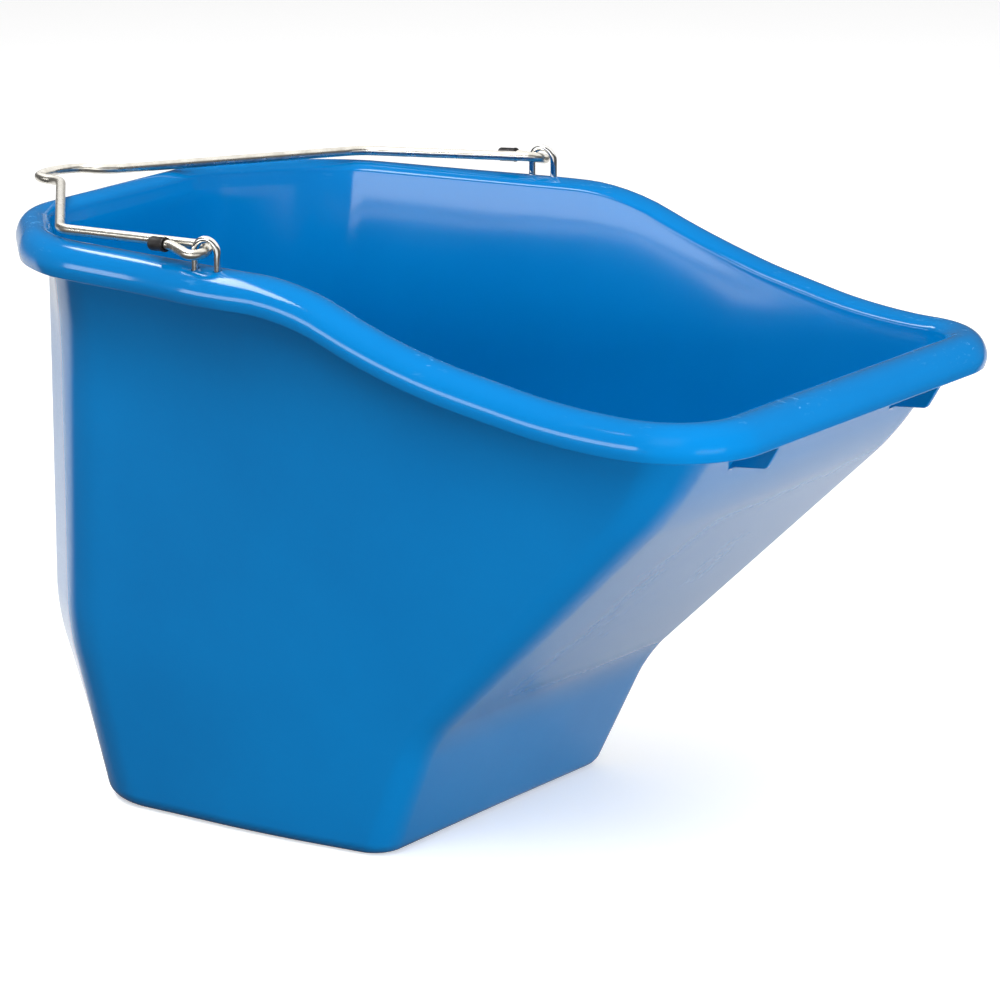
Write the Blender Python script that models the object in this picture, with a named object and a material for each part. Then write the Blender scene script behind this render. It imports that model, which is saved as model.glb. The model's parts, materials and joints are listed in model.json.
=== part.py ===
"""Hook-over feed bucket with a folding wire bail.

A moulded polyethylene tub with a flat back, chamfered rear corners, a long scooped front lip and a
rolled rim. A bent steel bail is hooked through two U-bolts that are nutted under the rolled rim.

Frame: origin at the middle of the flat base, +X to the front lip, +Y to the left, +Z up, metres.
"""
import math

import bmesh
import bpy
import numpy as np
from mathutils import Vector

# ---------------------------------------------------------------- driving dimensions
WALL = 0.003                # wall of the tub
RIM_TOP = 0.2945            # height of the rim's inner edge at the back
RIM_FRONT = 0.2482          # the same edge at the front lip
ROLL_WIDTH = 0.0184         # inner edge of the rim to its outermost line
ROLL_SWELL = 0.0040         # extra width of the roll beside the U-bolts
SWELL_X = 0.038             # where that extra width is largest
SWELL_REACH = 0.034         # how far it fades out along the rim
ROLL_TUCK = 0.0035          # how much narrower the roll is round the rear corners
TUCK_X = -0.070             # where it begins to narrow
TUCK_REACH = 0.025          # how fast it narrows

BOLT_X = 0.0344             # middle of each U-bolt
BOLT_Y = 0.1471
BOLT_PITCH = 0.0134         # distance between its legs
BOLT_WIRE = 0.0035          # diameter of its wire
BOLT_TOP = 0.3124           # top of the arch
PIVOT_Z = 0.3050            # line that the bail turns about

BAIL_WIRE = 0.0050          # diameter of the bail's wire
HOOK_GAP = 0.0110           # arm to returned end, centre to centre, at the hook
CAP_START = {1: 0.0150, -1: 0.0250}     # caps' open ends, back from the U-bolts: left, right
CAP_LENGTH = 0.0102         # black caps on the wire's two cut ends
CAP_RADIUS = 0.0037
CAP_ROUND = 0.0012

GUSSET_Y = 0.0757           # stiffening webs under the front lip
GUSSET_WIDTH = 0.003

GAP = 0.0003                # clearance between pieces that touch

WASHER_TOP = RIM_TOP - 0.0050    # where the washers meet the lowest part of the roll's curved roof
WASHER_RADIUS = 0.0034
WASHER_THICK = 0.0008
NUT_FLATS = 0.0055
NUT_HEIGHT = 0.0028
BOLT_FOOT = RIM_TOP - 0.0108     # lower ends of the U-bolts' legs, just through their nuts

# Corners of the tub's inner surface at four levels, for the left half: rear corner, chamfer corner,
# side, front corner. Each is (x, y, z), and the right half mirrors them.
REAR_X = -0.1255
FLOOR = [(-0.0950, 0.0570, WALL), (-0.0635, 0.0975, WALL),
         (0.0300, 0.1028, WALL), (0.1020, 0.0985, WALL)]
CREASE = [(REAR_X, 0.0622, 0.0890), (-0.0800, 0.1057, 0.0890),
          (0.0490, 0.1120, 0.0760), (0.1300, 0.1050, 0.0655)]
SHOULDER = [(REAR_X, 0.0642, 0.2350), (-0.0780, 0.1075, 0.2350),
            (0.0920, 0.1280, 0.2200), (0.2690, 0.1210, 0.1985)]
RIM = [(-0.1275, 0.0670, RIM_TOP), (-0.0815, 0.1205, RIM_TOP),
       (0.1030, 0.1435, RIM_TOP), (0.2995, 0.1285, RIM_FRONT)]
# How far from each corner its bend begins, and the steps that bends and straights are cut into.
CORNER_LEGS = {"floor": (0.012, 0.016, 0.030, 0.012), "crease": (0.012, 0.016, 0.040, 0.011),
               "shoulder": (0.014, 0.020, 0.055, 0.018), "rim": (0.014, 0.022, 0.060, 0.028)}
CORNER_STEPS = (4, 4, 5, 7)
SIDE_STEPS = (2, 2, 5, 5, 2)
PROFILE_LEGS = (0.005, 0.014, 0.016)    # the same up the wall: at the floor, the crease, the shoulder
PROFILE_STEPS = (3, 3, 3)
LEVEL_STEPS = (1, 1, 2, 1)

# The rim's height along X: level at the back, an S down to the lip.
HEIGHT_LINE = [(-0.200, RIM_TOP), (0.087, RIM_TOP), (0.143, 0.2692), (0.242, 0.2485), (0.330, RIM_FRONT)]
HEIGHT_LEGS = (0.024, 0.040, 0.030)

# The roll in section: outward from the inner edge and up from it, for the standard width.
ROLL = [(-0.0042, -0.0100), (-0.0030, -0.0038), (-0.0022, -0.0012), (0.0000, 0.0007), (0.0040, 0.0020),
        (0.0085, 0.0020), (0.0125, 0.0004), (0.0158, -0.0028), (0.0180, -0.0072), (0.0184, -0.0110),
        (0.0172, -0.0152)]


def clear_scene():
    for old in list(bpy.data.objects):
        bpy.data.objects.remove(old, do_unlink=True)


def paint(name, colour, roughness, metallic):
    """One Principled material with a flat colour."""
    material = bpy.data.materials.new(name)
    material.use_nodes = True
    shader = material.node_tree.nodes["Principled BSDF"]
    shader.inputs["Base Color"].default_value = (*colour, 1.0)
    shader.inputs["Roughness"].default_value = roughness
    shader.inputs["Metallic"].default_value = metallic
    return material


def finish_mesh(mesh, name, sharp_from=None):
    """Turn the bmesh into mesh data, shaded smooth, with edges kept sharp from the given angle."""
    data = bpy.data.meshes.new(name)
    mesh.to_mesh(data)
    mesh.free()
    data.shade_smooth()
    if sharp_from is not None:
        data.set_sharp_from_angle(angle=math.radians(sharp_from))
    return data


def add_object(name, mesh, material, parent=None):
    mesh.materials.append(material)
    item = bpy.data.objects.new(name, mesh)
    bpy.context.scene.collection.objects.link(item)
    if parent is not None:
        item.parent = parent
    return item


# ---------------------------------------------------------------- outlines
def bend(before, corner, after, leg, steps):
    """Points of a smooth bend that leaves and meets the two straights `leg` away from the corner."""
    start = corner + (before - corner).normalized() * leg
    end = corner + (after - corner).normalized() * leg
    points = []
    for i in range(steps + 1):
        t = i / steps
        a, b, c = (1 - t) ** 2, 1.5 * t * (1 - t), t ** 2
        points.append((start * a + corner * b + end * c) / (a + b + c))
    return points


def rounded(corners, legs, corner_steps, side_steps):
    """A path through the corners with every inner corner bent, and the straights cut into steps."""
    path = [corners[0]]
    for i in range(1, len(corners) - 1):
        turn = bend(corners[i - 1], corners[i], corners[i + 1], legs[i - 1], corner_steps[i - 1])
        path += straight(path[-1], turn[0], side_steps[i - 1]) + turn[1:]
    return path + straight(path[-1], corners[-1], side_steps[-1])


def straight(start, end, steps):
    return [start.lerp(end, (i + 1) / steps) for i in range(steps)]


def loop_at(corners, legs):
    """Closed outline of one level, from the middle of the back round by the left side."""
    first, last = Vector(corners[0]), Vector(corners[-1])
    line = [Vector((first.x, 0, first.z))] + [Vector(c) for c in corners] + [Vector((last.x, 0, last.z))]
    half = rounded(line, legs, CORNER_STEPS, SIDE_STEPS)
    return half + [Vector((p.x, -p.y, p.z)) for p in half[-2:0:-1]]


def rim_height(x):
    points = [Vector((px, 0, pz)) for px, pz in HEIGHT_LINE]
    line = rounded(points, HEIGHT_LEGS, (8, 8, 8), (2, 2, 2, 2))
    return float(np.interp(x, [p.x for p in line], [p.z for p in line]))


def outward(loop):
    """Level unit normals of a closed outline that runs anticlockwise as seen from below."""
    normals = []
    for i in range(len(loop)):
        along = loop[(i + 1) % len(loop)] - loop[i - 1]
        normals.append(Vector((-along.y, along.x, 0)).normalized())
    return normals


def roll_stretch(x):
    """How much wider the roll is at x than the standard section."""
    swell = ROLL_SWELL * math.exp(-((x - SWELL_X) / SWELL_REACH) ** 2)
    tuck = ROLL_TUCK / (1 + math.exp((x - TUCK_X) / TUCK_REACH * 4))
    return 1 + (swell - tuck) / ROLL_WIDTH


# ---------------------------------------------------------------- the moulded tub
def tub_sheet():
    """The tub's inside and the top of its roll, as one sheet with its normals up and inwards."""
    rim = [Vector((p.x, p.y, rim_height(p.x))) for p in loop_at(RIM, CORNER_LEGS["rim"])]
    normals = outward(rim)
    floor = loop_at(FLOOR, CORNER_LEGS["floor"])
    crease = loop_at(CREASE, CORNER_LEGS["crease"])
    shoulder = loop_at(SHOULDER, CORNER_LEGS["shoulder"])
    middle = Vector((0, 0, WALL))
    mesh = bmesh.new()
    columns = []
    for i, edge in enumerate(rim):
        stretch = roll_stretch(edge.x)
        roll = [edge + normals[i] * (n * stretch if n > 0 else n) + Vector((0, 0, z)) for n, z in ROLL]
        wall = [floor[i].lerp(middle, 0.2), floor[i], crease[i], shoulder[i], roll[0]]
        path = rounded(wall, PROFILE_LEGS, PROFILE_STEPS, LEVEL_STEPS)
        columns.append([mesh.verts.new(p) for p in path[1:] + roll[1:]])
    count = len(columns)
    for i in range(count):
        this, following = columns[i], columns[(i + 1) % count]
        for j in range(len(this) - 1):
            mesh.faces.new((this[j], following[j], following[j + 1], this[j + 1]))
    mesh.faces.new([column[0] for column in reversed(columns)])
    bmesh.ops.recalc_face_normals(mesh, faces=mesh.faces)
    mesh.faces.ensure_lookup_table()
    if mesh.faces[-1].normal.z < 0:
        bmesh.ops.reverse_faces(mesh, faces=mesh.faces)
    return finish_mesh(mesh, "bucket_body")


def guide(name, mesh):
    """A cutter or a solid to be joined: it is used by a Boolean and is no piece itself."""
    item = bpy.data.objects.new(name, mesh)
    bpy.context.scene.collection.objects.link(item)
    item.hide_render = True
    item.display_type = "WIRE"
    return item


def gusset_mesh():
    """Both webs that tie the lip's roll to the sloping front wall."""
    lip = RIM[3][0]
    outline = [(0.2800, 0.2128), (0.2832, 0.2150), (0.2850, 0.2170), (0.2885, 0.2185), (0.2960, 0.2191),
               (0.3045, 0.2198), (0.3060, 0.2206), (lip + 0.0120, 0.2299), (lip + 0.0157, 0.2362),
               (lip + 0.0155, 0.2420), (lip + 0.0115, 0.2465), (lip + 0.0045, 0.2480),
               (lip - 0.0010, 0.2450), (lip - 0.0010, 0.2400)]
    mesh = bmesh.new()
    for side in (-1, 1):
        y = side * GUSSET_Y - GUSSET_WIDTH / 2
        face = mesh.faces.new([mesh.verts.new((x, y, z)) for x, z in outline])
        solid = bmesh.ops.extrude_face_region(mesh, geom=[face])
        moved = [v for v in solid["geom"] if isinstance(v, bmesh.types.BMVert)]
        bmesh.ops.translate(mesh, verts=moved, vec=(0, GUSSET_WIDTH, 0))
    bmesh.ops.recalc_face_normals(mesh, faces=mesh.faces)
    return finish_mesh(mesh, "gusset_webs", 30)


def leg_places():
    """The four places where a U-bolt's leg passes down through the roll."""
    ends = [(side, end) for side in (-1, 1) for end in (-1, 1)]
    return [(BOLT_X + end * BOLT_PITCH / 2, side * BOLT_Y, side, end) for side, end in ends]


def drill_mesh():
    mesh = bmesh.new()
    for x, y, _, _ in leg_places():
        made = bmesh.ops.create_cone(mesh, cap_ends=True, segments=16, radius1=BOLT_WIRE / 2 + GAP,
                                     radius2=BOLT_WIRE / 2 + GAP, depth=0.030)
        bmesh.ops.translate(mesh, verts=made["verts"], vec=(x, y, RIM_TOP))
    return finish_mesh(mesh, "bolt_drill", 30)


def make_tub():
    tub = add_object("bucket_body", tub_sheet(), paint("blue_polyethylene", (0.0, 0.16, 0.50), 0.25, 0.0))
    shell = tub.modifiers.new("wall", "SOLIDIFY")
    shell.thickness = WALL
    shell.offset = -1.0
    shell.use_even_offset = True
    steps = (("gusset_webs", gusset_mesh(), "UNION"), ("bolt_drill", drill_mesh(), "DIFFERENCE"))
    for name, mesh, operation in steps:
        step = tub.modifiers.new(name, "BOOLEAN")
        step.operation = operation
        step.solver = "EXACT"
        step.object = guide(name, mesh)
    return tub


# ---------------------------------------------------------------- wire pieces
def wire(name, points, diameter, material, resolution, parent=None):
    """A round wire along the points, with flat closed ends."""
    curve = bpy.data.curves.new(name, "CURVE")
    curve.dimensions = "3D"
    curve.bevel_depth = diameter / 2
    curve.bevel_resolution = resolution
    curve.use_fill_caps = True
    spline = curve.splines.new("POLY")
    spline.points.add(len(points) - 1)
    for place, point in zip(spline.points, points):
        place.co = (*point, 1.0)
    return add_object(name, curve, material, parent)


def make_u_bolt(name, side, material):
    """One U-bolt: two legs that pass down through the roll and an arch that stands on it."""
    radius = BOLT_PITCH / 2
    centre = BOLT_TOP - BOLT_WIRE / 2 - radius
    points = [Vector((BOLT_X - radius, side * BOLT_Y, BOLT_FOOT)),
              Vector((BOLT_X - radius, side * BOLT_Y, centre - 0.003))]
    for i in range(13):
        turn = math.pi * i / 12
        x = BOLT_X - radius * math.cos(turn)
        points.append(Vector((x, side * BOLT_Y, centre + radius * math.sin(turn))))
    points.append(Vector((BOLT_X + radius, side * BOLT_Y, centre - 0.003)))
    points.append(Vector((BOLT_X + radius, side * BOLT_Y, BOLT_FOOT)))
    return wire(name, points, BOLT_WIRE, material, 3)


ARM_START = Vector((BOLT_X, BOLT_Y - HOOK_GAP / 2, PIVOT_Z + 0.0015))
ARM_END = Vector((-0.0689, 0.1284, 0.3016))
LEAN = Vector((-0.127, 0.990, -0.060)).normalized()      # from an arm towards its returned end
PINCH = BAIL_WIRE / 2 + CAP_RADIUS + GAP


def on_arm(distance, aside=0.0):
    """A point on the left arm's line, measured back from the U-bolt, or beside it."""
    return ARM_START + (ARM_END - ARM_START).normalized() * distance + LEAN * aside


def bail_corners(side):
    """Left half of the bail from its returned end to the tip of its nose, with the bend at each corner.

    The heights fall a little to the rear, where the wire lies on the back of the rim. The right half
    is the same but for how far its end is returned.
    """
    outer = Vector((BOLT_X, BOLT_Y + HOOK_GAP / 2, PIVOT_Z - 0.0015))
    return [
        (on_arm(CAP_START[side] + CAP_LENGTH - CAP_ROUND - GAP, PINCH), 0),
        (on_arm(CAP_START[side] - 0.0030, PINCH), 0.0018),
        (outer - Vector((0.0075, 0, 0)), 0.0018),
        (outer, 0.0052),
        (ARM_START, 0.0052),
        (ARM_END, 0.007),
        (Vector((-0.1539, 0.0191, 0.2994)), 0.007),
        (Vector((-0.1700, 0.0172, 0.2990)), 0.006),
        (Vector((-0.1765, 0.0075, 0.2988)), 0.006),
        (Vector((-0.1765, 0.0000, 0.2988)), 0),
    ]


def bail_path():
    halves = {}
    for side in (1, -1):
        corners = bail_corners(side)
        points = [Vector((place.x, side * place.y, place.z)) for place, _ in corners]
        legs = [leg for _, leg in corners[1:-1]]
        halves[side] = rounded(points, legs, (2, 2, 4, 4, 4, 4, 3, 3), (1, 1, 1, 1, 1, 4, 4, 1, 1))
    return halves[1] + halves[-1][-2::-1]


def cap_mesh(name, side, pivot):
    """Round cap over the wire's cut end: open towards the U-bolt and closed behind the wire."""
    along = (ARM_END - ARM_START).normalized()
    across = (LEAN - along * LEAN.dot(along)).normalized()
    lift = along.cross(across)
    bore = BAIL_WIRE / 2 + GAP
    section = ((CAP_LENGTH - CAP_ROUND, bore), (0, bore), (0, CAP_RADIUS),
               (CAP_LENGTH - CAP_ROUND, CAP_RADIUS), (CAP_LENGTH, CAP_RADIUS - CAP_ROUND))
    mesh = bmesh.new()
    rings = []
    for distance, radius in section:
        hub = on_arm(CAP_START[side] + distance, PINCH)
        ring = []
        for i in range(20):
            turn = 2 * math.pi * (i + 0.5) / 20
            point = hub + across * radius * math.cos(turn) + lift * radius * math.sin(turn)
            ring.append(mesh.verts.new((point.x - pivot.x, side * point.y, point.z - pivot.z)))
        rings.append(ring)
    for this, following in zip(rings, rings[1:]):
        for i in range(20):
            mesh.faces.new((this[i], this[(i + 1) % 20], following[(i + 1) % 20], following[i]))
    mesh.faces.new(rings[0])
    mesh.faces.new(rings[-1])
    bmesh.ops.recalc_face_normals(mesh, faces=mesh.faces)
    return finish_mesh(mesh, name, 40)


def make_bail():
    """The bail and its two end caps hang from an empty on the line through both U-bolts."""
    pivot = bpy.data.objects.new("bail_pivot", None)
    pivot.location = (BOLT_X, 0, PIVOT_Z)
    bpy.context.scene.collection.objects.link(pivot)
    place = pivot.location
    steel = paint("bright_steel_wire", (0.62, 0.60, 0.56), 0.28, 1.0)
    black = paint("black_vinyl", (0.02, 0.02, 0.022), 0.5, 0.0)
    wire("bail_handle", [p - place for p in bail_path()], BAIL_WIRE, steel, 3, pivot)
    for name, side in (("bail_end_cap_left", 1), ("bail_end_cap_right", -1)):
        add_object(name, cap_mesh(name, side, place), black, pivot)


# ---------------------------------------------------------------- fasteners under the roll
def ring_solid(name, sides, outer, inner, bottom, top, steps):
    """A flat ring or nut: an outline of the given sides round a plain hole."""
    mesh = bmesh.new()
    loops = []
    section = ((outer, bottom, sides), (outer, top, sides), (inner, top, 0), (inner, bottom, 0))
    for radius, height, flats in section:
        loop = []
        for i in range(steps):
            turn = 2 * math.pi * i / steps
            reach = radius
            if flats:
                wedge = 2 * math.pi / flats
                reach = radius * math.cos(wedge / 2) / math.cos((turn % wedge) - wedge / 2)
            loop.append(mesh.verts.new((reach * math.cos(turn), reach * math.sin(turn), height)))
        loops.append(loop)
    for j in range(4):
        this, following = loops[j], loops[(j + 1) % 4]
        for i in range(steps):
            mesh.faces.new((this[i], this[(i + 1) % steps], following[(i + 1) % steps], following[i]))
    bmesh.ops.recalc_face_normals(mesh, faces=mesh.faces)
    return finish_mesh(mesh, name, 40)


def make_fasteners():
    zinc = paint("zinc_plate", (0.60, 0.61, 0.62), 0.35, 1.0)
    bore = BOLT_WIRE / 2 + GAP
    nut_top = WASHER_TOP - WASHER_THICK - GAP
    washer = ring_solid("washer", 0, WASHER_RADIUS, bore, -WASHER_THICK, 0, 24)
    nut = ring_solid("nut", 6, NUT_FLATS / math.sqrt(3), bore, -NUT_HEIGHT, 0, 24)
    for x, y, side, end in leg_places():
        place = ("left" if side > 0 else "right") + ("_front" if end > 0 else "_rear")
        for kind, mesh, height in (("washer", washer, WASHER_TOP), ("nut", nut, nut_top)):
            item = add_object(kind + "_" + place, mesh.copy(), zinc)
            item.location = (x, y, height)


def main():
    clear_scene()
    make_tub()
    chrome = paint("chrome_plate", (0.72, 0.72, 0.73), 0.12, 1.0)
    make_u_bolt("u_bolt_left", 1, chrome)
    make_u_bolt("u_bolt_right", -1, chrome)
    make_bail()
    make_fasteners()


main()
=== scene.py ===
"""The looks of the feed bucket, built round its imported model, piece by piece."""
import json
import math

import bmesh
import bpy
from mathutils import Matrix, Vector

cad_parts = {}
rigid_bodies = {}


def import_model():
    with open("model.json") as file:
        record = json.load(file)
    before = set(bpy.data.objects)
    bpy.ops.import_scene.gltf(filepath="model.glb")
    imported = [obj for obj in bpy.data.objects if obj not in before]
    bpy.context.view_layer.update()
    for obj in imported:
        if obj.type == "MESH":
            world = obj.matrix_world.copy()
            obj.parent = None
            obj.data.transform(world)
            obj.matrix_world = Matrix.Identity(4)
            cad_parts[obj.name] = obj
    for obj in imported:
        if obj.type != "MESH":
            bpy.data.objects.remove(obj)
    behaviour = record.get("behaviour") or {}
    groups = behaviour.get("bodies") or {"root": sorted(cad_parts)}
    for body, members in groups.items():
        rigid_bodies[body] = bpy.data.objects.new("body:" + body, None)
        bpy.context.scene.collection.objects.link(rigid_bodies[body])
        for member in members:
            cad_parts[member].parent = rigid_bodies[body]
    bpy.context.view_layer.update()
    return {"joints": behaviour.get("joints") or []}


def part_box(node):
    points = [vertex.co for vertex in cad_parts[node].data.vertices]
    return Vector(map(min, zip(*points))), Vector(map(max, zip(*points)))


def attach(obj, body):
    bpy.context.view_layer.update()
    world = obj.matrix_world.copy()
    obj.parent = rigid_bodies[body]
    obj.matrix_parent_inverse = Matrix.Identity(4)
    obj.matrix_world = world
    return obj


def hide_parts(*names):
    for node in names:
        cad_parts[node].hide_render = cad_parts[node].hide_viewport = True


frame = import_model()

# ---------------------------------------------------------------------------------- the tub
# One shell of injection-moulded polyethylene, 3 mm thick: flat back with cut-off corners, a scooped
# front and a rolled rim. Two webs moulded on tie the front lip to the wall. Four holes are drilled
# through the roll for the U-bolts.
WALL = 0.003
RIM_TOP = 0.2945            # the rim's inner edge at the back
RIM_FRONT = 0.2482          # the same edge at the front lip
REAR_X = -0.1255            # the back wall's inner face

# Corners of the inner surface at four levels, left half: rear corner, cut-off corner, side, front.
FLOOR = [(-0.0950, 0.0570, WALL), (-0.0635, 0.0975, WALL),
         (0.0300, 0.1028, WALL), (0.1020, 0.0985, WALL)]
CREASE = [(REAR_X, 0.0622, 0.0890), (-0.0800, 0.1057, 0.0890),
          (0.0490, 0.1120, 0.0760), (0.1300, 0.1050, 0.0655)]
SHOULDER = [(REAR_X, 0.0642, 0.2350), (-0.0780, 0.1075, 0.2350),
            (0.0920, 0.1280, 0.2200), (0.2690, 0.1210, 0.1985)]
RIM = [(-0.1275, 0.0670, RIM_TOP), (-0.0815, 0.1205, RIM_TOP),
       (0.1030, 0.1435, RIM_TOP), (0.2995, 0.1285, RIM_FRONT)]
# The rim's height along x: level at the back, then a bent slope down to the lip.
HEIGHT_LINE = [(-0.200, RIM_TOP), (0.087, RIM_TOP), (0.143, 0.2692), (0.242, 0.2485), (0.330, RIM_FRONT)]

# The roll in section: outward from the inner edge, and up from it. The inner edge is a small radius,
# the crown is broad, and the skirt hangs down almost straight to a cut edge.
ROLL = [(-0.0042, -0.0100), (-0.0030, -0.0042), (-0.0025, -0.0017), (-0.0010, -0.0001), (0.0012, 0.0010),
        (0.0045, 0.0019), (0.0085, 0.0019), (0.0125, 0.0003), (0.0158, -0.0028), (0.0178, -0.0070),
        (0.0184, -0.0110), (0.0174, -0.0152)]
ROLL_WIDTH = 0.0184
SWELL = 0.0040              # the roll is wider beside the U-bolts
SWELL_X = 0.038
SWELL_REACH = 0.034
TUCK = 0.0035               # and narrower round the rear corners
TUCK_X = -0.070
TUCK_REACH = 0.025


def bend(before, corner, after, leg, steps):
    """A smooth bend that leaves and meets the two straights `leg` away from the corner."""
    start = corner + (before - corner).normalized() * leg
    end = corner + (after - corner).normalized() * leg
    points = []
    for i in range(steps + 1):
        t = i / steps
        a, b, c = (1 - t) ** 2, 1.5 * t * (1 - t), t ** 2
        points.append((start * a + corner * b + end * c) / (a + b + c))
    return points


def rounded(corners, legs, bend_steps, side_steps):
    """A path through the corners, with each inner corner bent and each straight cut into steps."""
    path = [corners[0]]
    for i in range(1, len(corners)):
        last = i == len(corners) - 1
        turn = [corners[i]] if last else bend(corners[i - 1], corners[i], corners[i + 1], legs[i - 1],
                                              bend_steps[i - 1])
        path += [path[-1].lerp(turn[0], (k + 1) / side_steps[i - 1]) for k in range(side_steps[i - 1])]
        path += turn[1:]
    return path


def level_loop(corners, legs):
    """Closed outline of one level, from the middle of the back round by the left side."""
    first, last = Vector(corners[0]), Vector(corners[-1])
    line = [Vector((first.x, 0, first.z))] + [Vector(c) for c in corners] + [Vector((last.x, 0, last.z))]
    half = rounded(line, legs, (10, 10, 16, 18), (6, 8, 18, 22, 10))
    return half + [Vector((p.x, -p.y, p.z)) for p in half[-2:0:-1]]


def curve_through(points, steps):
    """A smooth line through all the points, cut finely."""
    line = []
    for i in range(len(points) - 1):
        a, b, c, d = (points[min(max(i + k, 0), len(points) - 1)] for k in (-1, 0, 1, 2))
        for k in range(steps):
            t = k / steps
            line.append(0.5 * (2 * b + (c - a) * t + (2 * a - 5 * b + 4 * c - d) * t ** 2
                               + (3 * b - a - 3 * c + d) * t ** 3))
    return line + [points[-1]]


def height_at(x):
    """The rim's height at x, read off the bent height line."""
    for a, b in zip(height_path, height_path[1:]):
        if a.x <= x <= b.x:
            return a.z + (b.z - a.z) * (x - a.x) / (b.x - a.x)
    return height_path[-1].z


def roll_stretch(x):
    """How much wider or narrower the roll is at x than its standard section."""
    swell = SWELL * math.exp(-((x - SWELL_X) / SWELL_REACH) ** 2)
    tuck = TUCK / (1 + math.exp((x - TUCK_X) / TUCK_REACH * 4))
    return 1 + (swell - tuck) / ROLL_WIDTH


def start_ring(name, points):
    """A new piece: one open ring of edges in edit mode, whose points know their place round the ring."""
    bpy.ops.object.select_all(action="DESELECT")
    bpy.ops.mesh.primitive_circle_add(vertices=len(points), radius=0.01, fill_type="NOTHING")
    piece = bpy.context.object
    piece.name = piece.data.name = name
    bpy.ops.object.mode_set(mode="EDIT")
    bpy.ops.mesh.select_mode(type="EDGE")
    bpy.ops.mesh.select_all(action="SELECT")
    shape = bmesh.from_edit_mesh(piece.data)
    place = shape.verts.layers.int.new("place")
    shape.verts.layers.int.new("ring")
    for i, vert in enumerate(shape.verts):
        vert[place] = i
        vert.co = points[i]
    bmesh.update_edit_mesh(piece.data)
    return piece


def next_ring(piece, points, number=0):
    """Extrude the open edge and set down its new points."""
    bpy.ops.mesh.extrude_region()
    shape = bmesh.from_edit_mesh(piece.data)
    place, ring = shape.verts.layers.int["place"], shape.verts.layers.int["ring"]
    for vert in shape.verts:
        if vert.select:
            vert.co = points[vert[place]]
            vert[ring] = number
    bmesh.update_edit_mesh(piece.data)


def close_ends(piece):
    """Fill every open ring of the piece, turn its faces outwards and leave edit mode."""
    bpy.ops.mesh.select_all(action="SELECT")
    bpy.ops.mesh.select_non_manifold(extend=False)
    bpy.ops.mesh.edge_face_add()
    bpy.ops.mesh.select_all(action="SELECT")
    bpy.ops.mesh.normals_make_consistent(inside=False)
    bpy.ops.object.mode_set(mode="OBJECT")
    bpy.ops.object.shade_smooth_by_angle(angle=math.radians(40))


def add_step(piece, kind, **settings):
    """Add one modifier with its settings and apply it."""
    step = piece.modifiers.new(kind.lower(), kind)
    for name, value in settings.items():
        setattr(step, name, value)
    bpy.context.view_layer.objects.active = piece
    bpy.ops.object.modifier_apply(modifier=step.name)


height_path = rounded([Vector((x, 0, z)) for x, z in HEIGHT_LINE], (0.024, 0.040, 0.030),
                      (16, 16, 16), (2, 2, 2, 2))
floor_loop = level_loop(FLOOR, (0.012, 0.016, 0.030, 0.012))
crease_loop = level_loop(CREASE, (0.012, 0.016, 0.040, 0.011))
shoulder_loop = level_loop(SHOULDER, (0.014, 0.020, 0.055, 0.018))
rim_loop = level_loop(RIM, (0.014, 0.022, 0.060, 0.028))
for point in rim_loop:
    point.z = height_at(point.x)
roll_section = curve_through([Vector((n, 0, z)) for n, z in ROLL], 3)

columns = []
for i, edge in enumerate(rim_loop):
    along = rim_loop[(i + 1) % len(rim_loop)] - rim_loop[i - 1]
    out = Vector((-along.y, along.x, 0)).normalized()
    stretch = roll_stretch(edge.x)
    roll = [edge + out * (p.x * stretch if p.x > 0 else p.x) + Vector((0, 0, p.z)) for p in roll_section]
    middle = Vector((0, 0, WALL))
    wall = [floor_loop[i].lerp(middle, 0.5), floor_loop[i], crease_loop[i], shoulder_loop[i], roll[0]]
    columns.append(rounded(wall, (0.005, 0.014, 0.016), (8, 8, 8), (4, 8, 14, 6)) + roll[1:])

tub = start_ring("moulded_tub", [column[0] for column in columns])
for k in range(1, len(columns[0])):
    next_ring(tub, [column[k] for column in columns], k)
bpy.ops.mesh.select_all(action="DESELECT")
shape = bmesh.from_edit_mesh(tub.data)
ring_layer = shape.verts.layers.int["ring"]
for edge in shape.edges:
    edge.select = edge.is_boundary and all(v[ring_layer] == 0 for v in edge.verts)
bmesh.update_edit_mesh(tub.data)
bpy.ops.mesh.edge_face_add()
bpy.ops.mesh.select_all(action="SELECT")
bpy.ops.mesh.normals_make_consistent(inside=False)
shape = bmesh.from_edit_mesh(tub.data)
bottom = max(shape.faces, key=lambda face: len(face.verts))
if bottom.normal.z < 0:
    bpy.ops.mesh.flip_normals()
bpy.ops.object.mode_set(mode="OBJECT")
add_step(tub, "SOLIDIFY", thickness=WALL, offset=-1.0, use_even_offset=True)

# The cut edge of the skirt is rounded over by 0.7 mm.
LIP_ROUND = 0.0007
bpy.ops.object.mode_set(mode="EDIT")
bpy.ops.mesh.select_all(action="DESELECT")
shape = bmesh.from_edit_mesh(tub.data)
for edge in shape.edges:
    a, b = edge.link_faces[0], edge.link_faces[-1]
    high = min(v.co.z for v in edge.verts) > 0.2
    edge.select = high and a != b and a.normal.angle(b.normal) > math.radians(60)
bmesh.update_edit_mesh(tub.data)
bpy.ops.mesh.bevel(offset=LIP_ROUND, segments=3, affect="EDGES")
bpy.ops.object.mode_set(mode="OBJECT")

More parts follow.
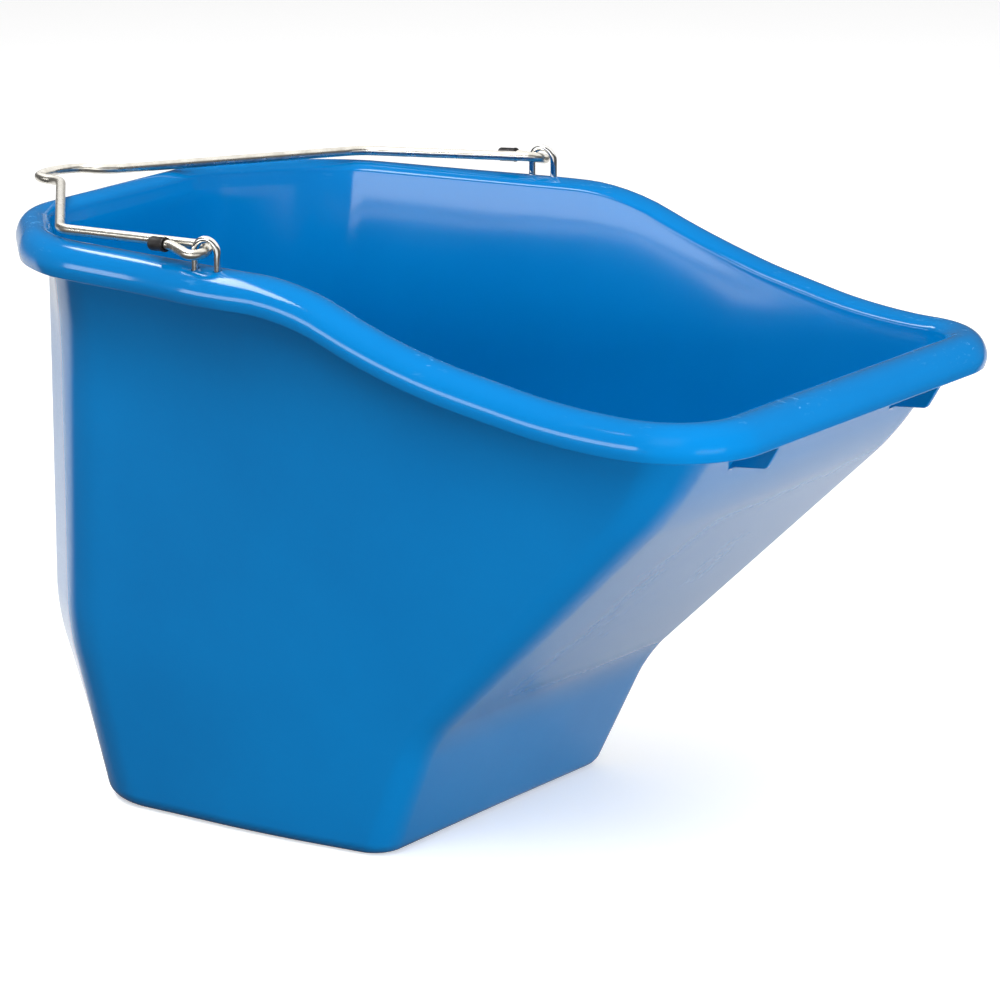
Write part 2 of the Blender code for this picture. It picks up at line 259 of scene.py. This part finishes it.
# The webs under the lip: thin ribs with a hollowed lower edge, moulded in one with the shell.
WEB_Y = 0.0757
WEB_WIDTH = 0.003
lip_x = RIM[3][0]
WEB_OUTLINE = [(0.2800, 0.2128), (0.2832, 0.2150), (0.2850, 0.2170), (0.2885, 0.2185), (0.2960, 0.2191),
               (0.3045, 0.2198), (0.3060, 0.2206), (lip_x + 0.0120, 0.2299), (lip_x + 0.0157, 0.2362),
               (lip_x + 0.0155, 0.2420), (lip_x + 0.0115, 0.2465), (lip_x + 0.0045, 0.2480),
               (lip_x - 0.0010, 0.2450), (lip_x - 0.0010, 0.2400)]
used_up = []                # what has been joined or cut into the tub and is removed at the end
for side in (-1, 1):
    y = side * WEB_Y
    half = WEB_WIDTH / 2
    web = start_ring("web", [Vector((x, y - half, z)) for x, z in WEB_OUTLINE])
    next_ring(web, [Vector((x, y + half, z)) for x, z in WEB_OUTLINE])
    close_ends(web)
    add_step(web, "BEVEL", width=0.0005, segments=2, limit_method="ANGLE", angle_limit=math.radians(30))
    add_step(tub, "BOOLEAN", operation="UNION", solver="EXACT", object=web)
    used_up.append(web)

# The holes for the U-bolts' legs, drilled after moulding, 0.3 mm wider than the legs.
bolt_box = [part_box("u_bolt_" + side) for side in ("right", "left")]
BOLT_WIRE = 0.0035
BOLT_PITCH = bolt_box[0][1].x - bolt_box[0][0].x - BOLT_WIRE
bolt_x = (bolt_box[0][0].x + bolt_box[0][1].x) / 2
bolt_y = (bolt_box[1][0].y + bolt_box[1][1].y) / 2
legs = [(bolt_x + end * BOLT_PITCH / 2, side * bolt_y) for side in (-1, 1) for end in (-1, 1)]
for x, y in legs:
    bpy.ops.object.select_all(action="DESELECT")
    bpy.ops.mesh.primitive_cylinder_add(vertices=32, radius=BOLT_WIRE / 2 + 0.0003, depth=0.03,
                                        location=(x, y, RIM_TOP))
    drill = bpy.context.object
    add_step(tub, "BOOLEAN", operation="DIFFERENCE", solver="EXACT", object=drill)
    used_up.append(drill)
for tool in used_up:
    bpy.data.objects.remove(tool)
bpy.ops.object.select_all(action="DESELECT")
tub.select_set(True)
bpy.context.view_layer.objects.active = tub
bpy.ops.object.shade_smooth_by_angle(angle=math.radians(38))

# How near each point is to the roll's crown, 0 to 1: scuffs gather there.
WEAR_DEPTH = 0.012          # how far below the crown they end
worn = tub.data.attributes.new("rim_wear", "FLOAT", "POINT")
for vert, value in zip(tub.data.vertices, worn.data):
    above = vert.co.z - height_at(vert.co.x)
    value.value = min(1.0, max(0.0, 1 + above / WEAR_DEPTH))


def linear(hex_colour):
    """An sRGB hex colour as linear red, green, blue and alpha."""
    channels = [int(hex_colour[i:i + 2], 16) / 255 for i in (1, 3, 5)]
    return [c / 12.92 if c <= 0.04045 else ((c + 0.055) / 1.055) ** 2.4 for c in channels] + [1.0]


def add_node(tree, kind, settings=None, inputs=None):
    """One shader node: its settings by name, its inputs by name or number, as values or as links."""
    node = tree.nodes.new(kind)
    for name, value in (settings or {}).items():
        setattr(node, name, value)
    for name, value in (inputs or {}).items():
        if isinstance(value, bpy.types.NodeSocket):
            tree.links.new(value, node.inputs[name])
        else:
            node.inputs[name].default_value = value
    return node


def new_material(name):
    """An empty node material and its Principled shader."""
    material = bpy.data.materials.new(name)
    material.use_nodes = True
    return material, material.node_tree, material.node_tree.nodes["Principled BSDF"]


def ramp(tree, value, low, high, to_low=0.0, to_high=1.0):
    """Spread the value's range from low to high over another range."""
    return add_node(tree, "ShaderNodeMapRange", None,
                    {"Value": value, "From Min": low, "From Max": high, "To Min": to_low,
                     "To Max": to_high}).outputs["Result"]


def multiply(tree, a, b):
    """The product of two values, each a number or a link."""
    return add_node(tree, "ShaderNodeMath", {"operation": "MULTIPLY"}, {0: a, 1: b}).outputs[0]


# Injection-moulded high-density polyethylene, pigmented blue: waxy gloss from a polished mould, a
# faint orange peel, slow sink waves in the big walls and fine pale rub marks on the roll and the scoop.
polyethylene, tree, shader = new_material("moulded_polyethylene_blue")
shader.inputs["IOR"].default_value = 1.54
shader.inputs["Specular IOR Level"].default_value = 0.5
shader.inputs["Subsurface Weight"].default_value = 0.0
place = add_node(tree, "ShaderNodeTexCoord").outputs["Object"]
wear = add_node(tree, "ShaderNodeAttribute", {"attribute_name": "rim_wear"}).outputs["Fac"]

PEEL_SIZE = 0.0035          # the orange peel's cell, in metres
WAVE_SIZE = 0.060           # sink waves in the walls
RUB_SIZE = 0.0016           # width of a rub mark
peel = add_node(tree, "ShaderNodeTexNoise", None,
                {"Vector": place, "Scale": 1 / PEEL_SIZE, "Detail": 3.0, "Roughness": 0.5}).outputs["Fac"]
waves = add_node(tree, "ShaderNodeTexNoise", None,
                 {"Vector": place, "Scale": 1 / WAVE_SIZE, "Detail": 1.0}).outputs["Fac"]
cloud = add_node(tree, "ShaderNodeTexNoise", None,
                 {"Vector": place, "Scale": 9.0, "Detail": 4.0, "Roughness": 0.55}).outputs["Fac"]
stretched = add_node(tree, "ShaderNodeMapping", None,
                     {"Vector": place, "Rotation": (0.0, 0.35, 0.15), "Scale": (0.16, 0.35, 1.0)}).outputs[0]
streaks = add_node(tree, "ShaderNodeTexNoise", None,
                   {"Vector": stretched, "Scale": 1 / RUB_SIZE, "Detail": 2.0,
                    "Roughness": 0.6}).outputs["Fac"]
rub_area = add_node(tree, "ShaderNodeTexNoise", None,
                    {"Vector": place, "Scale": 26.0, "Detail": 2.0}).outputs["Fac"]
rubs = multiply(tree, multiply(tree, ramp(tree, streaks, 0.60, 0.70), ramp(tree, rub_area, 0.52, 0.66)),
                ramp(tree, wear, 0.15, 1.0))
tone = add_node(tree, "ShaderNodeMix", {"data_type": "RGBA"},
                {"Factor": ramp(tree, cloud, 0.3, 0.7), "A": linear("#0073B8"), "B": linear("#0079BF")})
worn_tone = add_node(tree, "ShaderNodeMix", {"data_type": "RGBA"},
                     {"Factor": multiply(tree, rubs, 0.30), "A": tone.outputs["Result"],
                      "B": linear("#5FA9DE")})
tree.links.new(worn_tone.outputs["Result"], shader.inputs["Base Color"])
gloss = ramp(tree, cloud, 0.25, 0.75, 0.085, 0.125)
dulled = add_node(tree, "ShaderNodeMath", {"operation": "ADD"}, {0: gloss, 1: multiply(tree, rubs, 0.25)})
tree.links.new(dulled.outputs[0], shader.inputs["Roughness"])
big = add_node(tree, "ShaderNodeBump", None, {"Height": waves, "Strength": 0.08, "Distance": 0.0010})
skin = add_node(tree, "ShaderNodeBump", None, {"Height": peel, "Strength": 0.15, "Distance": 0.00004,
                                               "Normal": big.outputs["Normal"]})
marks = add_node(tree, "ShaderNodeBump", None, {"Height": rubs, "Strength": 0.15, "Distance": 0.00003,
                                                "Normal": skin.outputs["Normal"]})
tree.links.new(marks.outputs["Normal"], shader.inputs["Normal"])


def finish_piece(piece, body, node, material):
    """Give a finished piece its material and tie it to the frame."""
    piece.data.materials.clear()
    piece.data.materials.append(material)
    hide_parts(node)
    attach(piece, body)


finish_piece(tub, "bucket", "bucket_body", polyethylene)

# ---------------------------------------------------------------------------------- U-bolts
# Two U-bolts of 3.5 mm steel rod, bent to a half circle and nickel-chrome plated. Each leg drops
# through a hole in the roll and is threaded at its end for the nut.
def sweep(name, path, radius, sides, end_round):
    """A round wire along the path, with rounded ends, and each point's place on the wire as an attribute."""
    normal = (path[1] - path[0]).orthogonal().normalized()
    lengths = [0.0]
    piece = None
    rings = []
    for i, point in enumerate(path):
        ahead = path[min(i + 1, len(path) - 1)] - path[max(i - 1, 0)]
        ahead.normalize()
        normal = (normal - ahead * normal.dot(ahead)).normalized()
        if i:
            lengths.append(lengths[-1] + (point - path[i - 1]).length)
        rings.append((point, ahead, normal.copy(), lengths[-1]))
    first, last = rings[0], rings[-1]
    cuts = [(first, 0.0, radius - end_round), (first, end_round, radius)]
    cuts += [(ring, 0.0, radius) for ring in rings[1:-1]]
    cuts += [(last, -end_round, radius), (last, 0.0, radius - end_round)]
    for number, (ring, shift, reach) in enumerate(cuts):
        point, ahead, across, _ = ring
        side = ahead.cross(across)
        circle = []
        for k in range(sides):
            turn = 2 * math.pi * k / sides
            circle.append(point + ahead * shift + (across * math.cos(turn) + side * math.sin(turn)) * reach)
        if piece is None:
            piece = start_ring(name, circle)
        else:
            next_ring(piece, circle, number)
    close_ends(piece)
    store = piece.data.attributes.new("on_wire", "FLOAT_VECTOR", "POINT")
    places, numbers = piece.data.attributes["place"], piece.data.attributes["ring"]
    for i in range(len(piece.data.vertices)):
        turn = 2 * math.pi * places.data[i].value / sides
        store.data[i].vector = (math.cos(turn) * radius, math.sin(turn) * radius,
                                cuts[numbers.data[i].value][0][3])
    return piece


# Bright nickel-chrome plate: a mirror with a faint ripple from the bent rod below.
RIPPLE_SIZE = 1 / 420.0     # 2.4 mm
chrome, tree, shader = new_material("nickel_chrome_plate")
shader.inputs["Metallic"].default_value = 1.0
shader.inputs["Base Color"].default_value = linear("#E2E1DE")
place = add_node(tree, "ShaderNodeTexCoord").outputs["Object"]
ripple = add_node(tree, "ShaderNodeTexNoise", None,
                  {"Vector": place, "Scale": 1 / RIPPLE_SIZE, "Detail": 2.0}).outputs["Fac"]
tree.links.new(ramp(tree, ripple, 0.3, 0.7, 0.05, 0.14), shader.inputs["Roughness"])
THREAD_PITCH = 0.0006
rolled = add_node(tree, "ShaderNodeTexWave", {"bands_direction": "Z", "wave_profile": "TRI"},
                  {"Vector": place, "Scale": 1 / THREAD_PITCH / 20 * 2 * math.pi})
height = add_node(tree, "ShaderNodeSeparateXYZ", None, {0: place}).outputs["Z"]
threaded = multiply(tree, rolled.outputs["Fac"], ramp(tree, height, RIM_TOP - 0.0028, RIM_TOP - 0.0034))
thread = add_node(tree, "ShaderNodeBump", None, {"Height": threaded, "Strength": 1.0, "Distance": 0.0003})
rough = add_node(tree, "ShaderNodeBump", None, {"Height": ripple, "Strength": 0.15, "Distance": 0.00008,
                                                "Normal": thread.outputs["Normal"]})
tree.links.new(rough.outputs["Normal"], shader.inputs["Normal"])

for side, (low, high) in (("right", bolt_box[0]), ("left", bolt_box[1])):
    y = (low.y + high.y) / 2
    arch = BOLT_PITCH / 2
    centre_z = high.z - BOLT_WIRE / 2 - arch
    foot, spring = Vector((bolt_x - arch, y, low.z)), Vector((bolt_x - arch, y, centre_z))
    path = [foot.lerp(spring, k / 8) for k in range(8)]
    for k in range(33):
        turn = math.pi * k / 32
        path.append(Vector((bolt_x - arch * math.cos(turn), y, centre_z + arch * math.sin(turn))))
    path += [Vector((bolt_x + arch, y, centre_z)).lerp(Vector((bolt_x + arch, y, low.z)), (k + 1) / 8)
             for k in range(8)]
    bolt = sweep("plated_u_bolt_" + side, path, BOLT_WIRE / 2, 28, 0.0003)
    finish_piece(bolt, "bucket", "u_bolt_" + side, chrome)

# ---------------------------------------------------------------------------------- nuts and washers
# Zinc-plated steel hexagon nuts with chamfered corners, on flat washers, drawn up under the roll.
zinc, tree, shader = new_material("zinc_plate")
shader.inputs["Metallic"].default_value = 1.0
place = add_node(tree, "ShaderNodeTexCoord").outputs["Object"]
SPANGLE_SIZE = 0.0009       # a zinc crystal
ZINC_GRAIN = 0.0004
spangle = add_node(tree, "ShaderNodeTexVoronoi", None,
                   {"Vector": place, "Scale": 1 / SPANGLE_SIZE}).outputs["Distance"]
grain = add_node(tree, "ShaderNodeTexNoise", None,
                 {"Vector": place, "Scale": 1 / ZINC_GRAIN, "Detail": 3.0}).outputs["Fac"]
dull = add_node(tree, "ShaderNodeMix", {"data_type": "RGBA"},
                {"Factor": ramp(tree, spangle, 0.1, 0.6), "A": linear("#BFC3C6"), "B": linear("#A3A8AC")})
tree.links.new(dull.outputs["Result"], shader.inputs["Base Color"])
tree.links.new(ramp(tree, grain, 0.3, 0.7, 0.28, 0.42), shader.inputs["Roughness"])
pits = add_node(tree, "ShaderNodeBump", None, {"Height": grain, "Strength": 0.3, "Distance": 0.00005})
tree.links.new(pits.outputs["Normal"], shader.inputs["Normal"])


def turned(name, section, sides, centre):
    """A closed ring turned from a section of (radius, height) points."""
    piece = None
    for radius, height in section:
        circle = [centre + Vector((math.cos(2 * math.pi * k / sides) * radius,
                                   math.sin(2 * math.pi * k / sides) * radius, height)) for k in range(sides)]
        if piece is None:
            piece = start_ring(name, circle)
        else:
            next_ring(piece, circle)
    bpy.ops.mesh.select_all(action="SELECT")
    bpy.ops.mesh.remove_doubles(threshold=0.00001)
    bpy.ops.mesh.normals_make_consistent(inside=False)
    bpy.ops.object.mode_set(mode="OBJECT")
    bpy.ops.object.shade_smooth_by_angle(angle=math.radians(40))
    return piece


WASHER_EDGE = 0.00015       # radius on the washer's stamped edges
NUT_CHAMFER = 0.0005
THREAD_BORE = BOLT_WIRE / 2 + 0.00025
for side in ("left", "right"):
    for end in ("front", "rear"):
        place_name = side + "_" + end
        low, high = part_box("washer_" + place_name)
        centre = Vector(((low.x + high.x) / 2, (low.y + high.y) / 2, 0))
        reach = (high.x - low.x) / 2
        section = [(THREAD_BORE, low.z), (reach - WASHER_EDGE, low.z), (reach, low.z + WASHER_EDGE),
                   (reach, high.z - WASHER_EDGE), (reach - WASHER_EDGE, high.z), (THREAD_BORE, high.z),
                   (THREAD_BORE, low.z)]
        washer = turned("flat_washer_" + place_name, section, 48, centre)
        finish_piece(washer, "bucket", "washer_" + place_name, zinc)

        low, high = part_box("nut_" + place_name)
        middle = Vector((centre.x, centre.y, (low.z + high.z) / 2))
        corner = (high.x - low.x) / 2
        tall = high.z - low.z
        bpy.ops.object.select_all(action="DESELECT")
        bpy.ops.mesh.primitive_cylinder_add(vertices=6, radius=corner, depth=tall, location=middle,
                                            rotation=(0, 0, math.pi / 6 + math.pi / 3))
        nut = bpy.context.object
        nut.name = nut.data.name = "hex_nut_" + place_name
        bpy.ops.object.transform_apply(location=True, rotation=True, scale=True)
        flat = corner * math.cos(math.pi / 6)
        blank = turned("nut_blank", [(0.0001, low.z - 0.001), (flat - 0.0001, low.z - 0.0001),
                                     (corner, low.z + NUT_CHAMFER), (corner, high.z - NUT_CHAMFER),
                                     (flat - 0.0001, high.z + 0.0001), (0.0001, high.z + 0.001),
                                     (0.0001, low.z - 0.001)], 48, centre)
        add_step(nut, "BOOLEAN", operation="INTERSECT", solver="EXACT", object=blank)
        bore = turned("nut_bore", [(0.00001, low.z - 0.002), (THREAD_BORE, low.z - 0.002),
                                   (THREAD_BORE, high.z + 0.002), (0.00001, high.z + 0.002),
                                   (0.00001, low.z - 0.002)], 32, centre)
        add_step(nut, "BOOLEAN", operation="DIFFERENCE", solver="EXACT", object=bore)
        bpy.data.objects.remove(blank)
        bpy.data.objects.remove(bore)
        bpy.ops.object.select_all(action="DESELECT")
        nut.select_set(True)
        bpy.context.view_layer.objects.active = nut
        bpy.ops.object.shade_smooth_by_angle(angle=math.radians(25))
        finish_piece(nut, "bucket", "nut_" + place_name, zinc)

# ---------------------------------------------------------------------------------- the bail
# One 5 mm steel wire, drawn, cut and bent on a former, then bright zinc plated. A nose at the back
# takes the wall hook. Each end is hooked through its U-bolt and doubled back beside the arm, the left
# end shorter than the right.
BAIL_WIRE = 0.0050
HOOK_GAP = 0.0110           # arm to returned end at the hook, centre to centre
CAP_START = {1: 0.0150, -1: 0.0250}     # the caps' open ends, back from the U-bolts: left, right
CAP_LENGTH = 0.0102
CAP_RADIUS = 0.0037
CAP_ROUND = 0.0012
hinge = Vector(frame["joints"][0]["pos_m"])
ARM_START = Vector((bolt_x, bolt_y - HOOK_GAP / 2, hinge.z + 0.0015))
ARM_END = Vector((-0.0689, 0.1284, 0.3016))
LEAN = Vector((-0.127, 0.990, -0.060)).normalized()      # from an arm towards its returned end
BESIDE = BAIL_WIRE / 2 + CAP_RADIUS + 0.0003
along_arm = (ARM_END - ARM_START).normalized()


def on_arm(distance, aside=0.0):
    """A point on the left arm's line, measured back from the U-bolt, or beside it."""
    return ARM_START + along_arm * distance + LEAN * aside


hook = Vector((bolt_x, bolt_y + HOOK_GAP / 2, hinge.z - 0.0015))
halves = {}
for side in (1, -1):
    bail_corners = [
        on_arm(CAP_START[side] + CAP_LENGTH - CAP_ROUND - 0.0003, BESIDE),
        on_arm(CAP_START[side] - 0.0030, BESIDE),
        hook - Vector((0.0075, 0, 0)),
        hook,
        ARM_START,
        ARM_END,
        Vector((-0.1539, 0.0191, 0.2994)),
        Vector((-0.1700, 0.0172, 0.2990)),
        Vector((-0.1765, 0.0075, 0.2988)),
        Vector((-0.1765, 0.0000, 0.2988)),
    ]
    half = rounded([Vector((p.x, side * p.y, p.z)) for p in bail_corners],
                   (0.0018, 0.0018, 0.0052, 0.0052, 0.007, 0.007, 0.006, 0.006),
                   (5, 5, 10, 10, 10, 8, 8, 8), (5, 2, 2, 2, 2, 16, 22, 4, 2))
    halves[side] = [half[0]]
    for point in half[1:]:
        if (point - halves[side][-1]).length > 0.0002:
            halves[side].append(point)
bail = sweep("bent_wire_bail", halves[1] + halves[-1][-2::-1], BAIL_WIRE / 2, 28, 0.0004)

# Drawn steel wire under bright zinc: long fine die lines, small grey stains, a warm cast.
drawn, tree, shader = new_material("drawn_wire_bright_zinc")
shader.inputs["Metallic"].default_value = 1.0
on_wire = add_node(tree, "ShaderNodeAttribute", {"attribute_name": "on_wire"}).outputs["Vector"]
DIE_LINE = 0.0005           # width of a die line, drawn coarser than the real 0.05 mm so that it shows
lines_at = add_node(tree, "ShaderNodeMapping", None,
                    {"Vector": on_wire, "Scale": (1.0, 1.0, 0.012)}).outputs[0]
lines = add_node(tree, "ShaderNodeTexNoise", None,
                 {"Vector": lines_at, "Scale": 1 / DIE_LINE, "Detail": 2.0, "Roughness": 0.6}).outputs["Fac"]
stains = add_node(tree, "ShaderNodeTexNoise", None,
                  {"Vector": on_wire, "Scale": 160.0, "Detail": 4.0, "Roughness": 0.65}).outputs["Fac"]
metal = add_node(tree, "ShaderNodeMix", {"data_type": "RGBA"},
                 {"Factor": ramp(tree, stains, 0.35, 0.75), "A": linear("#E6E2D8"), "B": linear("#C4BFB4")})
tree.links.new(metal.outputs["Result"], shader.inputs["Base Color"])
tree.links.new(ramp(tree, stains, 0.3, 0.75, 0.24, 0.36), shader.inputs["Roughness"])
scored = add_node(tree, "ShaderNodeBump", None, {"Height": lines, "Strength": 0.15, "Distance": 0.00006})
tree.links.new(scored.outputs["Normal"], shader.inputs["Normal"])
finish_piece(bail, "bail", "bail_handle", drawn)

# ---------------------------------------------------------------------------------- end caps
# Black vinyl caps pushed over the wire's two cut ends, so that they can't scratch. Dipped mouldings:
# matt, 1 mm thick, closed and rounded at one end, with a bead round the mouth.
cap_across = (LEAN - along_arm * LEAN.dot(along_arm)).normalized()
cap_up = along_arm.cross(cap_across)
CAP_BORE = BAIL_WIRE / 2 + 0.0003
CAP_SECTION = [(CAP_LENGTH - CAP_ROUND, 0.0001), (CAP_LENGTH - CAP_ROUND, CAP_BORE - 0.0004),
               (CAP_LENGTH - CAP_ROUND - 0.0004, CAP_BORE), (0.0003, CAP_BORE), (0.0001, CAP_BORE + 0.0002),
               (0.0, CAP_RADIUS - 0.0004), (0.0001, CAP_RADIUS - 0.0001), (0.0004, CAP_RADIUS),
               (0.0012, CAP_RADIUS), (0.0015, CAP_RADIUS - 0.00015), (0.0060, CAP_RADIUS - 0.00015)]
for k in range(9):
    turn = math.pi / 2 * k / 8
    CAP_SECTION.append((CAP_LENGTH - CAP_ROUND * (1 - math.sin(turn)),
                        CAP_RADIUS - 0.00015 - (CAP_ROUND + 0.0004) * (1 - math.cos(turn))))
CAP_SECTION.append((CAP_LENGTH, 0.0001))

# Plasticised vinyl: matt black, slightly pebbled, dusty grey where it has been handled.
vinyl, tree, shader = new_material("black_vinyl")
shader.inputs["IOR"].default_value = 1.53
place = add_node(tree, "ShaderNodeTexCoord").outputs["Object"]
pebble = add_node(tree, "ShaderNodeTexNoise", None,
                  {"Vector": place, "Scale": 1 / 0.0007, "Detail": 3.0, "Roughness": 0.6}).outputs["Fac"]
dust = add_node(tree, "ShaderNodeTexNoise", None,
                {"Vector": place, "Scale": 210.0, "Detail": 2.0}).outputs["Fac"]
soot = add_node(tree, "ShaderNodeMix", {"data_type": "RGBA"},
                {"Factor": ramp(tree, dust, 0.35, 0.75), "A": linear("#191819"), "B": linear("#2E2A29")})
tree.links.new(soot.outputs["Result"], shader.inputs["Base Color"])
tree.links.new(ramp(tree, pebble, 0.3, 0.7, 0.40, 0.58), shader.inputs["Roughness"])
crinkle = add_node(tree, "ShaderNodeBump", None, {"Height": pebble, "Strength": 0.5, "Distance": 0.00012})
tree.links.new(crinkle.outputs["Normal"], shader.inputs["Normal"])

for name, side in (("left", 1), ("right", -1)):
    cap = None
    for distance, radius in CAP_SECTION:
        hub = on_arm(CAP_START[side] + distance, BESIDE)
        circle = []
        for k in range(40):
            turn = 2 * math.pi * k / 40
            point = hub + (cap_across * math.cos(turn) + cap_up * math.sin(turn)) * radius
            circle.append(Vector((point.x, side * point.y, point.z)))
        if cap is None:
            cap = start_ring("vinyl_end_cap_" + name, circle)
        else:
            next_ring(cap, circle)
    close_ends(cap)
    finish_piece(cap, "bail", "bail_end_cap_" + name, vinyl)

# ---------------------------------------------------------------------------------- floor, lights, camera
# A pale table under a wide overhead diffuser, with a white card low down at the left, in a dim room.
# In mirror-like reflections the table is white behind the bucket and to its left, and painted dark in front
# to keep the near wall's colour deep; the camera sees the table white there.
DARK_REFLECTION_FRONT = -0.10         # edge of the painted dark reflection in front of the bucket
DARK_REFLECTION_RIGHT = 0.45          # and to the right of it
bpy.ops.object.select_all(action="DESELECT")
bpy.ops.mesh.primitive_plane_add(size=30.0, location=(0, 0, -0.0002))
floor = bpy.context.object
floor.name = "studio_floor"
table_white, tree, shader = new_material("studio_white_table")
place = add_node(tree, "ShaderNodeTexCoord").outputs["Object"]
spot = add_node(tree, "ShaderNodeSeparateXYZ", None, {0: place})
grain = add_node(tree, "ShaderNodeTexNoise", None,
                 {"Vector": place, "Scale": 3.0, "Detail": 2.0}).outputs["Fac"]
# Painted reflection: only glossy rays see the table dark, in front of the bucket and to its right.
white_in_reflections = multiply(tree, ramp(tree, spot.outputs["Y"], DARK_REFLECTION_FRONT, DARK_REFLECTION_FRONT + 0.12),
                      ramp(tree, spot.outputs["X"], DARK_REFLECTION_RIGHT, DARK_REFLECTION_RIGHT - 0.15))
reflected = add_node(tree, "ShaderNodeLightPath").outputs["Is Glossy Ray"]
lit = add_node(tree, "ShaderNodeMath", {"operation": "MAXIMUM"},
               {0: white_in_reflections, 1: ramp(tree, reflected, 0.0, 1.0, 1.0, 0.0)}).outputs[0]
paint = add_node(tree, "ShaderNodeMix", {"data_type": "RGBA"},
                 {"Factor": lit, "A": linear("#0A0A0A"), "B": linear("#F2F2F2")})
tree.links.new(paint.outputs["Result"], shader.inputs["Base Color"])
tree.links.new(ramp(tree, grain, 0.3, 0.7, 0.65, 0.75), shader.inputs["Roughness"])
shader.inputs["Specular IOR Level"].default_value = 0.1
shader.inputs["Emission Color"].default_value = linear("#FFFFFF")
tree.links.new(ramp(tree, reflected, 0.0, 1.0, 0.45, 0.08), shader.inputs["Emission Strength"])
floor.data.materials.append(table_white)
floor.visible_diffuse = False

# The room, by direction: dim above the horizon; below it white towards the left and the back, where
# the table runs on, and dark elsewhere.
ROOM_ABOVE = 0.12
ROOM_WHITE = 1.15
ROOM_DARK = 0.02
ROOM_BACKDROP = 0.95        # what the camera sees beyond the table
world = bpy.data.worlds.new("studio")
world.use_nodes = True
tree = world.node_tree
sky = tree.nodes["Background"]
toward = add_node(tree, "ShaderNodeTexCoord").outputs["Generated"]
axes = add_node(tree, "ShaderNodeSeparateXYZ", None, {0: toward})
behind = ramp(tree, axes.outputs["Y"], 0.0, 0.45)
leftward = ramp(tree, axes.outputs["X"], 0.25, -0.15)
table = ramp(tree, multiply(tree, behind, leftward), 0.0, 1.0, ROOM_DARK, ROOM_WHITE)
room = add_node(tree, "ShaderNodeMix", {"data_type": "FLOAT"},
                {"Factor": ramp(tree, axes.outputs["Z"], -0.14, -0.01), "A": table, "B": ROOM_ABOVE})
seen = add_node(tree, "ShaderNodeLightPath").outputs["Is Camera Ray"]
backdrop = add_node(tree, "ShaderNodeMix", {"data_type": "FLOAT"},
                    {"Factor": seen, "A": room.outputs[0], "B": ROOM_BACKDROP})
tree.links.new(backdrop.outputs[0], sky.inputs["Strength"])
sky.inputs["Color"].default_value = linear("#FFFFFF")
bpy.context.scene.world = world


def soft_box(name, direction, distance, size, power, mirrored=True):
    """A rectangular light that faces the bucket from the given direction."""
    lamp = bpy.data.lights.new(name, "AREA")
    lamp.shape = "RECTANGLE"
    lamp.size, lamp.size_y = size
    lamp.energy = power
    stand = bpy.data.objects.new(name, lamp)
    bpy.context.scene.collection.objects.link(stand)
    towards = Vector(direction).normalized()
    stand.location = Vector((0.08, 0, 0.15)) + towards * distance
    stand.rotation_euler = towards.to_track_quat("Z", "Y").to_euler()
    stand.visible_glossy = mirrored
    return stand


soft_box("overhead", (0, 0.15, 1), 2.6, (5.0, 5.0), 84, mirrored=False)
soft_box("strip", (-0.54, -0.24, 0.81), 1.6, (1.5, 0.28), 12)
soft_box("card", (-0.50, -0.86, 0.22), 2.2, (2.0, 0.45), 11)
soft_box("front_high", (0.35, -0.75, 0.75), 2.4, (1.2, 1.2), 24, mirrored=False)
soft_box("side_fill", (-0.10, -1.0, 0.04), 2.0, (1.0, 0.5), 7, mirrored=False)
soft_box("fill", (0.95, -0.30, 0.05), 1.6, (0.8, 0.5), 26, mirrored=False)

# Two more lights reach the metal parts only, so that the wires shine and the plastic doesn't.
METAL_NAMES = ("plated_u_bolt", "bent_wire", "hex_nut", "flat_washer")
metal_parts = bpy.data.collections.new("metal_parts")
bpy.context.scene.collection.children.link(metal_parts)
for piece in bpy.context.scene.objects:
    if piece.type == "MESH" and piece.name.startswith(METAL_NAMES):
        metal_parts.objects.link(piece)
for name, direction, size, power in (("metal_overhead", (-0.1, 0.45, 1), (4.5, 4.5), 75),
                                     ("metal_front", (0.25, -1, 0.12), (2.2, 1.2), 8)):
    soft_box(name, direction, 1.6, size, power).light_linking.receiver_collection = metal_parts

VIEW_TURN = 0.58681         # the camera's turn and height round the bucket, in radians
VIEW_RISE = 0.24406
VIEW_DISTANCE = 2.75
AIM = Vector((0.10536, 0, 0.16161))
camera = bpy.data.objects.new("camera", bpy.data.cameras.new("camera"))
bpy.context.scene.collection.objects.link(camera)
back = Vector((math.sin(VIEW_TURN) * math.cos(VIEW_RISE), -math.cos(VIEW_TURN) * math.cos(VIEW_RISE),
               math.sin(VIEW_RISE)))
camera.location = AIM + back * VIEW_DISTANCE
camera.rotation_euler = back.to_track_quat("Z", "Y").to_euler()
camera.data.lens = 198.3
camera.data.sensor_width = 36.0
camera.data.clip_end = 60.0
bpy.context.scene.camera = camera
bpy.context.scene.view_settings.view_transform = "Standard"
